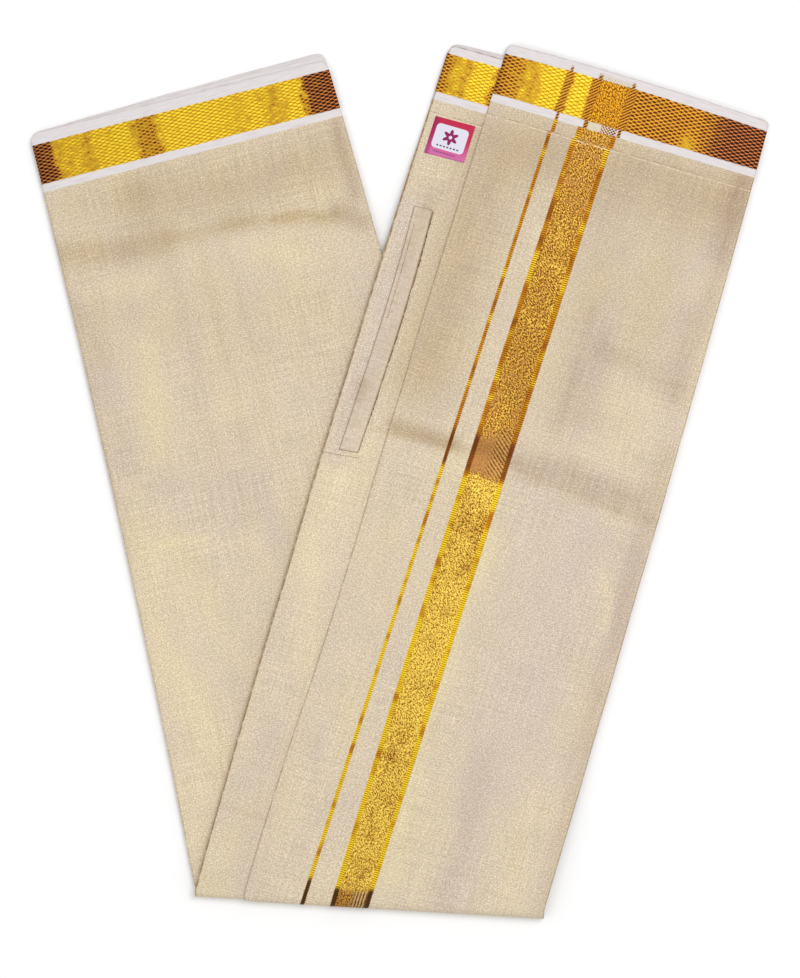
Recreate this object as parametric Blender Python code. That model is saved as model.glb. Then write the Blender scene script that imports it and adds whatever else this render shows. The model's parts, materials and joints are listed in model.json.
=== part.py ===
"""A dhoti of tissue cloth, folded for the shelf and laid flat.

One woven length is folded lengthwise into a strip, and the strip is turned back over itself once,
so that it lies in a V. Its left leg rests on the floor and its right leg crosses over the left one.

Every piece is first cut on the cloth's own lattice, where a point has three numbers:
    across   0 at the strip's outer edge, 1 at its inner edge
    along    -1 at the left leg's end, 0 to 1 round the turn, 2 at the right leg's end
    height   in metres, through the stack, 0 at the face that the two legs share
lay() then puts each lattice point in its place on the floor. Metres, +Z up, floor at z = 0.
"""

import math
from collections import namedtuple

import bmesh
import bpy
from mathutils import Matrix, Vector

MM = 0.001

# The cloth. Its loom width runs along the strip, from selvedge to selvedge.
LOOM_WIDTH = 1270 * MM
STRIP_WIDTH = 254 * MM
LEG_LENGTH = LOOM_WIDTH / 2
WALL = 1.0 * MM
GAP = 0.3 * MM

# The hidden layers: full in the middle, pressed thinner at their folded sides and cut ends
CORE_FULL = 3.8 * MM
CORE_PRESSED = 3.2 * MM
CORE_LEAVES = 3
SIDE_ROUNDING = 25 * MM
END_ROUNDING = 40 * MM
FULL_FROM_TURN = 60 * MM
LEAF_ROUNDING = 0.3 * MM
SIDE_SLIT = 1.6 * MM
END_SLIT = 12 * MM
CORNER_RADIUS = 7 * MM

# The turn, where the strip folds over itself
TURN_INNER_RADIUS = GAP + WALL / 2
TURN_STEPS = 9
TURN_PANEL_STEP = 3
TURN_CENTRE_HEIGHT = CORE_FULL + TURN_INNER_RADIUS
CREASE_LENGTH = 262.2 * MM
CREASE_TILT = -3.4

# The right leg lies on the left one, then comes down to the floor past its inner edge
ON_LEFT_LEG = CORE_FULL + WALL + 2 * GAP
STEP_DOWN_FROM = 12 * MM
STEP_DOWN_WIDTH = 55 * MM

# The front panel's free edge, as a share of the strip's width
FRONT_EDGE_AT_TURN = 0.14
FRONT_EDGE_ON_LEG = 0.168
FRONT_EDGE_SETTLES = 0.4

# How far each end stops short of the leg's end line, at its outer and inner edge
LEFT_PANEL_END = (0.0 * MM, 0.0 * MM)
WAIST_PANEL_END = (10.3 * MM, 10.3 * MM)
FRONT_PANEL_END = (0.0 * MM, 0.0 * MM)

# The same for the leaves of the hidden layers, a row for each, from the shared face outwards
Leaf = namedtuple("Leaf", "left_end right_end")
LEAVES = (
    Leaf(left_end=(-1.2 * MM, -4.2 * MM), right_end=(9.0 * MM, 0.8 * MM)),
    Leaf(left_end=(-2.0 * MM, -6.6 * MM), right_end=(8.2 * MM, -1.6 * MM)),
    Leaf(left_end=(-0.4 * MM, -5.2 * MM), right_end=(9.4 * MM, -0.6 * MM)),
)

# The edges of the two legs, seen from above. Each runs from one end of the crease.
Edge = namedtuple("Edge", "start lean length bow")
INWARDS = Matrix.Rotation(math.radians(CREASE_TILT), 2)
CREASE_START = Vector((0.0, 0.0))
CREASE_END = INWARDS @ Vector((CREASE_LENGTH, 0.0))
EDGES = {
    "left": (
        Edge(start=CREASE_START, lean=-12.4, length=577.0 * MM, bow=3.6 * MM),
        Edge(start=CREASE_END, lean=-14.4, length=657.0 * MM, bow=6.0 * MM),
    ),
    "right": (
        Edge(start=CREASE_START, lean=16.8, length=671.6 * MM, bow=-4.0 * MM),
        Edge(start=CREASE_END, lean=16.0, length=613.4 * MM, bow=2.0 * MM),
    ),
}

# Creases left by folding the legs again for packing, as shallow troughs across a leg
Crease = namedtuple("Crease", "leg at_outer at_inner width depth")
CREASES = (
    Crease(leg="left", at_outer=0.85, at_inner=0.76, width=16 * MM, depth=0.35 * MM),
    Crease(leg="left", at_outer=0.46, at_inner=0.44, width=18 * MM, depth=0.25 * MM),
    Crease(leg="right", at_outer=0.54, at_inner=0.54, width=16 * MM, depth=0.40 * MM),
)

# The lattice: stations across the strip and along each leg, as shares
WELT_ACROSS = (0.28, 0.62)
LABEL_ACROSS = (0.16, 0.90)
WAIST_ACROSS = (0.0, LABEL_ACROSS[0], WELT_ACROSS[0], WELT_ACROSS[1], LABEL_ACROSS[1])
FRONT_ACROSS = (0.0, 0.06, 0.15, 0.26, 0.37, 0.48, 0.59, 0.69, 0.79, 0.88, 0.94, 0.98, 1.0)
LEFT_PANEL_START = 0.004
LEFT_ALONG = (
    0.0, LEFT_PANEL_START, 0.06, 0.14, 0.23, 0.32, 0.41, 0.50, 0.58, 0.66, 0.74, 0.80, 0.86, 0.91,
    0.94, 0.97, 0.985, 1.0,
)
WELT_ALONG = (0.513, 0.798)
LABEL_ALONG = (0.859, 0.902)
RIGHT_ALONG = (
    0.0, 0.03, 0.08, 0.14, 0.20, 0.26, 0.32, 0.38, 0.44, 0.48, WELT_ALONG[0], 0.54, 0.57, 0.61,
    0.66, 0.71, 0.75, WELT_ALONG[1], 0.83, LABEL_ALONG[0], 0.88, LABEL_ALONG[1], 0.94, 0.97, 0.985, 1.0,
)

# Past this share of a leg its stations draw together or apart, to meet their level's end line
END_ZONE = 0.94

# Stations nearer than this are one, and so are vertices, which stand a whole number apart at first
SAME_STATION = 1e-9
SAME_VERTEX = 0.01
SMOOTH_UP_TO = math.radians(35)

CLOTH_COLOUR = (0.66, 0.55, 0.39)
LINING_COLOUR = (0.63, 0.52, 0.41)
LABEL_COLOUR = (0.62, 0.10, 0.25)


def ease(share):
    """Rises smoothly from 0 to 1 as share does."""
    share = min(max(share, 0.0), 1.0)
    return share * share * (3 - 2 * share)


def edge_frame(edge):
    """The way that an edge runs in plan, and the direction to its right."""
    way = Vector((math.sin(math.radians(edge.lean)), math.cos(math.radians(edge.lean))))
    return way, Vector((way.y, -way.x))


def edge_point(edge, share):
    way, right = edge_frame(edge)
    return edge.start + way * edge.length * share + right * edge.bow * 4 * share * (1 - share)


def front_edge(share):
    """Where the front panel's free edge crosses the right leg, as a share of the width."""
    return FRONT_EDGE_AT_TURN + (FRONT_EDGE_ON_LEG - FRONT_EDGE_AT_TURN) * ease(share / FRONT_EDGE_SETTLES)


def share_across(leg, across, share):
    """The lattice bends on the right leg, so that one of its lines runs under the front panel's edge."""
    if leg == "left":
        return across
    line = front_edge(share)
    if across < FRONT_EDGE_AT_TURN:
        return across * line / FRONT_EDGE_AT_TURN
    return 1 - (1 - across) * (1 - line) / (1 - FRONT_EDGE_AT_TURN)


def plan_point(leg, width_share, share):
    outer, inner = EDGES[leg]
    return edge_point(outer, share).lerp(edge_point(inner, share), width_share)


def height_below(point):
    """How high the right leg's underside lies at a plan point: on the left leg, or down on the floor."""
    edge = EDGES["left"][1]
    way, right = edge_frame(edge)
    share = (point - edge.start).dot(way) / edge.length
    past_edge = (point - edge.start).dot(right) - edge.bow * 4 * share * (1 - share)
    return ON_LEFT_LEG * (1 - ease((past_edge - STEP_DOWN_FROM) / STEP_DOWN_WIDTH))


def core_depth(leg, width_share, share):
    """Thickness of the hidden layers: pressed thinner at the sides, the ends and the creases."""
    from_side = min(width_share, 1 - width_share) * STRIP_WIDTH
    from_end = (1 - share) * LEG_LENGTH
    fullness = min(ease(from_side / SIDE_ROUNDING), ease(from_end / END_ROUNDING))
    pressed = (1 - fullness) * ease(share * LEG_LENGTH / FULL_FROM_TURN)
    depth = CORE_FULL - (CORE_FULL - CORE_PRESSED) * pressed
    for crease in CREASES:
        if crease.leg == leg:
            middle = crease.at_outer + (crease.at_inner - crease.at_outer) * width_share
            distance = (share - middle) * LEG_LENGTH / crease.width
            depth -= crease.depth * fullness * math.exp(-distance * distance)
    return depth


def through_stack(height, depth):
    """A height in the stack, where the hidden layers are depth thick in place of CORE_FULL."""
    if height <= 0:
        return height
    if height <= CORE_FULL:
        return height * depth / CORE_FULL
    return depth + height - CORE_FULL


def lay(across, along, height):
    """Puts a point of the cut cloth in its place on the floor."""
    if 0 < along < 1:
        angle = math.pi * along
        radius = TURN_INNER_RADIUS + height
        crease = CREASE_START.lerp(CREASE_END, across)
        spot = crease + INWARDS @ Vector((0.0, -radius * math.sin(angle)))
        return Vector((spot.x, spot.y, TURN_CENTRE_HEIGHT - radius * math.cos(angle)))
    leg = "left" if along <= 0 else "right"
    share = -along if along <= 0 else along - 1
    width_share = share_across(leg, across, share)
    spot = plan_point(leg, width_share, share)
    depth = core_depth(leg, width_share, share)
    lift = through_stack(height, depth)
    if leg == "left":
        return Vector((spot.x, spot.y, depth - lift))
    return Vector((spot.x, spot.y, height_below(spot) + lift))


Level = namedtuple("Level", "height side left_end right_end")


def widened(end, by):
    return (end[0] + by, end[1] + by)


def sheet_levels(bottom, top, left_end, right_end):
    """The outlines of one sheet's rim, from one face to the other, with its edge rounded over."""
    return [
        Level(bottom, LEAF_ROUNDING, widened(left_end, LEAF_ROUNDING), widened(right_end, LEAF_ROUNDING)),
        Level((bottom + top) / 2, 0.0, left_end, right_end),
        Level(top, LEAF_ROUNDING, widened(left_end, LEAF_ROUNDING), widened(right_end, LEAF_ROUNDING)),
    ]


def stack_levels():
    """The hidden layers' rim: leaves with slits between, deep at the ends and slight at the sides."""
    leaf_depth = (CORE_FULL - GAP * (CORE_LEAVES - 1)) / CORE_LEAVES
    levels = []
    for number, leaf in enumerate(LEAVES):
        bottom = number * (leaf_depth + GAP)
        if levels:
            for height in (bottom - GAP, bottom):
                levels.append(Level(height, SIDE_SLIT, (END_SLIT, END_SLIT), (END_SLIT, END_SLIT)))
        levels.extend(sheet_levels(bottom, bottom + leaf_depth, leaf.left_end, leaf.right_end))
    return levels


def trimmed(share, across, end):
    """Moves a station near a leg's end, so that the last one lies on the end line of its level."""
    if share <= END_ZONE:
        return share
    inset = end[0] + (end[1] - end[0]) * across
    last = 1 - inset / LEG_LENGTH
    return END_ZONE + (share - END_ZONE) * (last - END_ZONE) / (1 - END_ZONE)


def rounded_corner(from_side, from_end):
    """Rounds off a corner of the cut: distances from its side and end, moved inside the corner's arc."""
    if from_side >= CORNER_RADIUS or from_end >= CORNER_RADIUS:
        return from_side, from_end
    side = 1 - from_side / CORNER_RADIUS
    end = 1 - from_end / CORNER_RADIUS
    side, end = side * math.sqrt(1 - end * end / 2), end * math.sqrt(1 - side * side / 2)
    return (1 - side) * CORNER_RADIUS, (1 - end) * CORNER_RADIUS


def cut_point(columns, rows, level, column, row):
    """The cut cloth's lattice point for one vertex, with its rim drawn in as the level says."""
    across = columns[column]
    along = rows[row]
    if column == 0:
        across += level.side / STRIP_WIDTH
    if column == len(columns) - 1:
        across -= level.side / STRIP_WIDTH
    if 0 <= along <= 1:
        return across, along, level.height
    left = along < 0
    share = -along if left else along - 1
    share = trimmed(share, across, level.left_end if left else level.right_end)
    reaches_end = rows[0] == -1 if left else rows[-1] == 2
    if reaches_end:
        last = trimmed(1.0, across, level.left_end if left else level.right_end)
        from_end = (last - share) * LEG_LENGTH
        near_first = across - columns[0] < columns[-1] - across
        side, inwards = (columns[0], 1) if near_first else (columns[-1], -1)
        from_side, from_end = rounded_corner(abs(across - side) * STRIP_WIDTH, from_end)
        across = side + inwards * from_side / STRIP_WIDTH
        share = last - from_end / LEG_LENGTH
    return across, -share if left else share + 1, level.height


def material(name, colour, roughness):
    finish = bpy.data.materials.new(name)
    finish.use_nodes = True
    shader = finish.node_tree.nodes["Principled BSDF"]
    shader.inputs["Base Color"].default_value = (*colour, 1.0)
    shader.inputs["Roughness"].default_value = roughness
    shader.inputs["Metallic"].default_value = 0.0
    finish.diffuse_color = (*colour, 1.0)
    return finish


def cloth_body(name, columns, rows, levels, finish):
    """One closed body: a lattice sheet, its rim grown level by level, and the sheet again as its lid."""
    bm = bmesh.new()
    wide = len(columns) - 1
    long = len(rows) - 1
    bmesh.ops.create_grid(bm, x_segments=wide, y_segments=long, size=0.5)
    for vert in bm.verts:
        vert.co = Vector((round((vert.co.x + 0.5) * wide), round((vert.co.y + 0.5) * long), 0.0))
    for face in list(bm.faces):
        low = min(face.verts, key=lambda vert: vert.co.x + vert.co.y)
        high = max(face.verts, key=lambda vert: vert.co.x + vert.co.y)
        bmesh.utils.face_split(face, low, high)
    sheet = bm.verts[:] + bm.edges[:] + bm.faces[:]
    rim = [edge for edge in bm.edges if edge.is_boundary]
    lid = bmesh.ops.duplicate(bm, geom=sheet)["geom"]
    lid_verts = [part for part in lid if isinstance(part, bmesh.types.BMVert)]
    bmesh.ops.translate(bm, vec=(0, 0, len(levels) - 1), verts=lid_verts)
    for _ in levels[1:]:
        grown = bmesh.ops.extrude_edge_only(bm, edges=rim)["geom"]
        raised = [part for part in grown if isinstance(part, bmesh.types.BMVert)]
        bmesh.ops.translate(bm, vec=(0, 0, 1), verts=raised)
        rim = [part for part in grown if isinstance(part, bmesh.types.BMEdge) and part.is_boundary]
    bmesh.ops.remove_doubles(bm, verts=bm.verts, dist=SAME_VERTEX)
    bmesh.ops.recalc_face_normals(bm, faces=bm.faces)
    for vert in bm.verts:
        column, row, level = (round(number) for number in vert.co)
        vert.co = lay(*cut_point(columns, rows, levels[level], column, row))
    mesh = bpy.data.meshes.new(name)
    bm.to_mesh(mesh)
    bm.free()
    mesh.materials.append(finish)
    body = bpy.data.objects.new(name, mesh)
    bpy.context.scene.collection.objects.link(body)
    mesh.shade_smooth()
    mesh.set_sharp_from_angle(angle=SMOOTH_UP_TO)
    return body


def between(first, station, last):
    return first - SAME_STATION <= station <= last + SAME_STATION


def columns_between(first, last):
    """The lattice's stations across, from one share of the width to another."""
    waist = [FRONT_EDGE_AT_TURN * share for share in WAIST_ACROSS]
    front = [FRONT_EDGE_AT_TURN + (1 - FRONT_EDGE_AT_TURN) * share for share in FRONT_ACROSS]
    return [across for across in waist + front if between(first, across, last)]


def rows_between(first, last):
    """The lattice's stations along: up the left leg reversed, round the turn and up the right leg."""
    left = [-share for share in reversed(LEFT_ALONG)]
    turn = [step / TURN_STEPS for step in range(1, TURN_STEPS)]
    right = [1 + share for share in RIGHT_ALONG]
    return [along for along in left + turn + right if between(first, along, last)]


def build_cloth(finish):
    waist_face = CORE_FULL + GAP
    front_face = waist_face + WALL + GAP
    panel_start = TURN_PANEL_STEP / TURN_STEPS
    whole_width = columns_between(0, 1)
    cloth_body("hidden_layers", whole_width, rows_between(-1, 2), stack_levels(), finish)
    left = sheet_levels(-GAP - WALL, -GAP, LEFT_PANEL_END, LEFT_PANEL_END)
    cloth_body("left_panel", whole_width, rows_between(-1, -LEFT_PANEL_START), left, finish)
    waist = sheet_levels(waist_face, waist_face + WALL, WAIST_PANEL_END, WAIST_PANEL_END)
    cloth_body("waist_panel", whole_width, rows_between(panel_start, 2), waist, finish)
    front = sheet_levels(front_face, front_face + WALL, FRONT_PANEL_END, FRONT_PANEL_END)
    front_width = columns_between(FRONT_EDGE_AT_TURN, 1)
    cloth_body("front_panel", front_width, rows_between(panel_start, 2), front, finish)


def build_sewn_on(name, across, along, finish):
    """A small piece on the waist panel, made from the panel's own points and moved out."""
    face = CORE_FULL + 2 * GAP + WALL
    columns = columns_between(*(FRONT_EDGE_AT_TURN * share for share in across))
    rows = rows_between(*(1 + share for share in along))
    cloth_body(name, columns, rows, sheet_levels(face, face + WALL, (0, 0), (0, 0)), finish)


def centre_on_floor():
    """Moves everything so that the origin is under the middle of the folded cloth."""
    bodies = [body for body in bpy.data.objects if body.type == "MESH"]
    xs = [vert.co.x for body in bodies for vert in body.data.vertices]
    ys = [vert.co.y for body in bodies for vert in body.data.vertices]
    middle = Vector(((min(xs) + max(xs)) / 2, (min(ys) + max(ys)) / 2, 0.0))
    for body in bodies:
        body.data.transform(Matrix.Translation(-middle))


def main():
    for old in list(bpy.data.objects):
        bpy.data.objects.remove(old)
    build_cloth(material("tissue_cloth", CLOTH_COLOUR, 0.55))
    build_sewn_on("pocket_welt", WELT_ACROSS, WELT_ALONG, material("lining_cloth", LINING_COLOUR, 0.8))
    build_sewn_on("sewn_label", LABEL_ACROSS, LABEL_ALONG, material("label_satin", LABEL_COLOUR, 0.5))
    centre_on_floor()


main()
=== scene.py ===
# %% [markdown]
# # A folded dhoti of tissue cloth
#
# A dhoti is a length of cloth worn wrapped round the waist. In a shop it lies folded: first lengthwise
# into a strip some 25 cm wide, and then once across, so that the strip makes a V. This lesson dresses
# that folded cloth: its thin layers, the soft creases, and the gold border and band that are woven
# into it.
#
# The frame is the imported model. It fixes where every layer lies, and nothing here moves it.

# %% Load the frame
import json
import math
from collections import namedtuple

import bmesh
import bpy
from mathutils import Matrix, Vector, noise

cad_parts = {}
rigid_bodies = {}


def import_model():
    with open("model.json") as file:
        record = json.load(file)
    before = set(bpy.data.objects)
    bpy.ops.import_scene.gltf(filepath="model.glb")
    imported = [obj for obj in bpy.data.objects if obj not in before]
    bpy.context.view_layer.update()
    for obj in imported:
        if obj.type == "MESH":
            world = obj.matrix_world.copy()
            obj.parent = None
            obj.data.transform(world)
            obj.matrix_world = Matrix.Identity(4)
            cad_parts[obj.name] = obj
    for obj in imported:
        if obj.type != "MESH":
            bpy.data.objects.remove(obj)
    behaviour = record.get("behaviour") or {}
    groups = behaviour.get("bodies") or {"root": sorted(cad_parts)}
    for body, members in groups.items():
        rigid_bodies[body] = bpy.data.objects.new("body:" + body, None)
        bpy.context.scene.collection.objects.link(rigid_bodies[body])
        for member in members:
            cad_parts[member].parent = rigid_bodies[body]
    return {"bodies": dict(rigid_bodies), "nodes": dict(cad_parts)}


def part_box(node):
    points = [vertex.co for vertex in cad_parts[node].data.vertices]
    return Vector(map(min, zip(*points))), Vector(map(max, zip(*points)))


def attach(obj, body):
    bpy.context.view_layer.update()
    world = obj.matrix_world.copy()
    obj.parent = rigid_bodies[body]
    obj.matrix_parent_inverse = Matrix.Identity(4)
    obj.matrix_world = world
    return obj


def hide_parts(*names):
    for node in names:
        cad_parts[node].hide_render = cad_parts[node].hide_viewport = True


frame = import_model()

MM = 0.001

kept = set(frame["nodes"].values()) | set(frame["bodies"].values())
for stray in set(bpy.data.objects) - kept:
    bpy.data.objects.remove(stray)
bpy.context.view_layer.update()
print("frame:", ", ".join(sorted(frame["nodes"])))

# %% [markdown]
# ## The lie of the cloth
#
# Each layer is cut on the cloth itself, where a point is told by how far it is across the strip (0 to 1)
# and how far along it (-1 at the left leg's end, 0 to 1 round the turn, 2 at the right leg's end). A
# function then lays such a point on the floor. Working on the cloth keeps every layer parallel to its
# neighbours, and it makes the woven pattern follow the folds, as it does on the real thing. The sizes
# repeat the frame's own.

# %% The strip and its turn
STRIP_WIDTH = 254 * MM
LEG_LENGTH = 635 * MM
CORE_FULL = 3.8 * MM
CORE_PRESSED = 3.2 * MM
LAYER_SPACE = 1.3 * MM
SIDE_ROUNDING = 25 * MM
END_ROUNDING = 40 * MM
FULL_FROM_TURN = 60 * MM
TURN_INNER_RADIUS = 0.8 * MM
TURN_CENTRE_HEIGHT = CORE_FULL + TURN_INNER_RADIUS
ON_LEFT_LEG = 5.4 * MM
STEP_DOWN_FROM = 12 * MM
STEP_DOWN_WIDTH = 55 * MM
FRONT_EDGE_AT_TURN = 0.14
FRONT_EDGE_ON_LEG = 0.168
FRONT_EDGE_SETTLES = 0.4

Edge = namedtuple("Edge", "start lean length bow")
CREASE_START = Vector((0.0, 0.0))
INWARDS = Matrix.Rotation(math.radians(-3.4), 2)
CREASE_END = INWARDS @ Vector((262.2 * MM, 0.0))
EDGES = {
    "left": (
        Edge(start=CREASE_START, lean=-12.4, length=577.0 * MM, bow=3.6 * MM),
        Edge(start=CREASE_END, lean=-14.4, length=657.0 * MM, bow=6.0 * MM),
    ),
    "right": (
        Edge(start=CREASE_START, lean=16.8, length=671.6 * MM, bow=-4.0 * MM),
        Edge(start=CREASE_END, lean=16.0, length=613.4 * MM, bow=2.0 * MM),
    ),
}


def ease(share):
    """Rises smoothly from 0 to 1 as share does."""
    share = min(max(share, 0.0), 1.0)
    return share * share * (3 - 2 * share)


def arched(share):
    """0 at both ends, and 1 halfway."""
    return 4 * share * (1 - share)


def on_leg(along):
    """The leg that a place along the strip is on, and its share of the way to that leg's end."""
    return ("left", -along) if along <= 0 else ("right", max(along - 1, 0.0))


def directions(edge):
    """The way along an edge, before it bows, and the way to its right."""
    way = Vector((math.sin(math.radians(edge.lean)), math.cos(math.radians(edge.lean))))
    return way, Vector((way.y, -way.x))


def edge_point(edge, share):
    way, right = directions(edge)
    return edge.start + way * edge.length * share + right * edge.bow * arched(share)


def share_across(leg, across, share):
    """On the right leg one line of the cloth's lattice runs under the front layer's free edge."""
    if leg == "left":
        return across
    settled = ease(share / FRONT_EDGE_SETTLES)
    line = FRONT_EDGE_AT_TURN + (FRONT_EDGE_ON_LEG - FRONT_EDGE_AT_TURN) * settled
    if across < FRONT_EDGE_AT_TURN:
        return across * line / FRONT_EDGE_AT_TURN
    return 1 - (1 - across) * (1 - line) / (1 - FRONT_EDGE_AT_TURN)


def plan_point(leg, width_share, share):
    outer, inner = EDGES[leg]
    return edge_point(outer, share).lerp(edge_point(inner, share), width_share)


for leg_name in EDGES:
    end_width = (plan_point(leg_name, 1, 1) - plan_point(leg_name, 0, 1)).length
    print(leg_name, "leg is", round(end_width / MM), "mm wide at its end")

# %% [markdown]
# ## Where the sheet's own lattice meets the frame
#
# The label is the smallest piece of the frame, so its box fixes the whole lattice to a hair: its lower
# left corner has the least x, and its lower right corner the least y. The difference is the frame's
# origin.

# %% Find the origin
LABEL_ACROSS = (0.16, 0.90)
LABEL_ALONG = (0.859, 0.902)


def on_waist_strip(share):
    """A share of the strip that shows left of the front layer, as a share of the whole width."""
    return FRONT_EDGE_AT_TURN * share


def label_corner(across, along):
    return plan_point("right", share_across("right", on_waist_strip(across), along), along)


label_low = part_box("sewn_label")[0]
ORIGIN = Vector((
    label_corner(LABEL_ACROSS[0], LABEL_ALONG[0]).x - label_low.x,
    label_corner(LABEL_ACROSS[1], LABEL_ALONG[0]).y - label_low.y,
))
print("the crease starts at", [round(-value / MM, 1) for value in ORIGIN], "mm")

# %% [markdown]
# ## Creases and soft waves
#
# Folding and stacking leave marks: a sharp line where a fold was pressed, and long shallow waves. They
# are listed one by one, each from one point of the floor to another as seen from above, with a width and
# a depth. A trough beside a low ridge reads as a crease that was opened again. Because the marks thin and
# thicken the stack of hidden layers, every layer above them follows.

# %% Creases
Mark = namedtuple("Mark", "path width depth")
MARKS = {
    "right": (
        Mark(((-24, 42), (0, 38), (30, 28), (62, 19), (92, 8), (132, -9), (176, -27)), 7.0, -0.95),
        Mark(((-18, 28), (30, 13), (80, -1), (120, -19), (170, -42)), 8.0, 0.45),
        Mark(((64, -103), (46, -200), (30, -298)), 11.0, -0.50),
        Mark(((144, 130), (134, 90), (118, 40)), 5.0, -0.16),
        Mark(((142, -110), (118, -210), (100, -300)), 12.0, -0.45),
        Mark(((158, 96), (180, 84), (206, 65)), 9.0, -0.45),
    ),
    "left": (
        Mark(((-262, 168), (-225, 174), (-160, 184), (-110, 195), (-30, 199)), 8.0, -0.65),
        Mark(((-252, 154), (-150, 168), (-34, 182)), 8.0, 0.15),
        Mark(((-200, -50), (-160, -37), (-112, -46), (-60, -38)), 7.0, -0.16),
    ),
}
WAVES = (
    # size across, size along (mm), height (mm)
    (62, 130, 0.30),
    (24, 44, 0.09),
)
LEFT_RISE_LIMIT = 0.15


def from_path(path, spot):
    """Distance from a floor point to the nearest point of a path, all in mm."""
    nearest = math.inf
    for start, end in zip(path, path[1:]):
        start, end = Vector(start), Vector(end)
        run = end - start
        share = min(max((spot - start).dot(run) / run.length_squared, 0.0), 1.0)
        nearest = min(nearest, (spot - start - run * share).length)
    return nearest


def strength(mark, spot):
    """How strongly a mark shows at a floor point in mm: 1 on its path, and less beside it."""
    wander = 2.0 * noise.noise(Vector((spot.x / 26, spot.y / 26, mark.width)))
    distance = (from_path(mark.path, spot) + wander) / mark.width
    return math.exp(-distance * distance)


def relief(leg, spot, width_share, share):
    """Height in metres that the marks and waves add to the stack at a floor point."""
    in_mm = (spot - ORIGIN) / MM
    height = sum(mark.depth * strength(mark, in_mm) for mark in MARKS[leg])
    for wide, long, high in WAVES:
        place = Vector((width_share * STRIP_WIDTH / MM / wide, share * LEG_LENGTH / MM / long, wide))
        height += high * noise.noise(place)
    if leg == "left":
        height = min(height, LEFT_RISE_LIMIT)
    return height * MM


def core_depth(leg, spot, width_share, share):
    """Thickness of the hidden layers: less at the sides and ends, and marked by the creases."""
    from_side = min(width_share, 1 - width_share) * STRIP_WIDTH
    from_end = (1 - share) * LEG_LENGTH
    fullness = min(ease(from_side / SIDE_ROUNDING), ease(from_end / END_ROUNDING))
    from_turn = ease(share * LEG_LENGTH / FULL_FROM_TURN)
    depth = CORE_FULL - (CORE_FULL - CORE_PRESSED) * (1 - fullness) * from_turn
    return depth + relief(leg, spot, width_share, share) * fullness * from_turn


print(sum(map(len, MARKS.values())), "creases,", len(WAVES), "sizes of wave")

# %% [markdown]
# ## Laying a point of the cloth on the floor
#
# The left leg rests on the floor. The right leg lies on it, and past the left leg's inner edge it comes
# down to the floor in a soft slope. Between them the strip turns over in a half circle.

# %% Lay one point
TURN_REACH = 20 * MM


def height_below(spot):
    """How high the right leg's underside lies at a point of the floor."""
    edge = EDGES["left"][1]
    way, right = directions(edge)
    share = (spot - edge.start).dot(way) / edge.length
    past_edge = (spot - edge.start).dot(right) - edge.bow * arched(share)
    return ON_LEFT_LEG * (1 - ease((past_edge - STEP_DOWN_FROM) / STEP_DOWN_WIDTH))


def lay(across, along, height):
    """A point of the cloth, in its place: across and along the strip, and up through the stack."""
    if 0 < along < 1:
        radius = TURN_INNER_RADIUS + height
        crease = CREASE_START.lerp(CREASE_END, across)
        spot = crease + INWARDS @ Vector((0.0, -radius * math.sin(math.pi * along))) - ORIGIN
        return Vector((spot.x, spot.y, TURN_CENTRE_HEIGHT - radius * math.cos(math.pi * along)))
    leg, share = on_leg(along)
    width_share = share_across(leg, across, share)
    spot = plan_point(leg, width_share, share)
    depth = core_depth(leg, spot, width_share, share)
    if height > CORE_FULL:
        lift = depth + height - CORE_FULL
    elif height > 0:
        lift = height * depth / CORE_FULL
    else:
        lift = height
    if leg == "left":
        return Vector((spot.x - ORIGIN.x, spot.y - ORIGIN.y, depth - lift))
    return Vector((spot.x - ORIGIN.x, spot.y - ORIGIN.y, height_below(spot) + lift))


print("the turn stands", round((TURN_CENTRE_HEIGHT + TURN_INNER_RADIUS + CORE_FULL) / MM, 1), "mm high")

# %% [markdown]
# ## The map of the weave
#
# Cloth patterns follow the threads and not the room, so each layer gets a map in metres: across from the
# strip's edge, and along from the selvedge at its end. On the front layer the map starts at the thin gold
# line, and it is stretched a little to keep the wide band's two edges on their places.

# %% Places on the cloth, in metres
Line = namedtuple("Line", "bottom top bow")
THIN_LINE = Line(bottom=(-72.4, -313), top=(113.6, 266), bow=0.0)
BAND_LEFT = Line(bottom=(-51.0, -313), top=(126.0, 248.6), bow=-2.0)
BAND_RIGHT = Line(bottom=(-21.8, -313), top=(157.5, 248.6), bow=0.0)
BAND_START = 16 * MM
BAND_END = 46 * MM
BULGE_REACH = 36 * MM


def line_offset(line, spot):
    """Distance in metres of a floor point to the right of a woven line."""
    bottom = Vector(line.bottom) * MM
    top = Vector(line.top) * MM
    way = (top - bottom).normalized()
    share = (spot - bottom).dot(way) / (top - bottom).length
    right = Vector((way.y, -way.x))
    return (spot - bottom).dot(right) - line.bow * MM * arched(share)


def front_place(spot):
    """How far across the front layer a floor point is from the thin line, with the band's edges held."""
    thin = line_offset(THIN_LINE, spot)
    band_left = line_offset(BAND_LEFT, spot)
    band_right = line_offset(BAND_RIGHT, spot)
    if band_right > 0:
        return BAND_END + band_right
    if band_left > 0:
        return BAND_START + (BAND_END - BAND_START) * band_left / (band_left - band_right)
    if thin > 0:
        return BAND_START * thin / (thin - band_left)
    return thin


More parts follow.
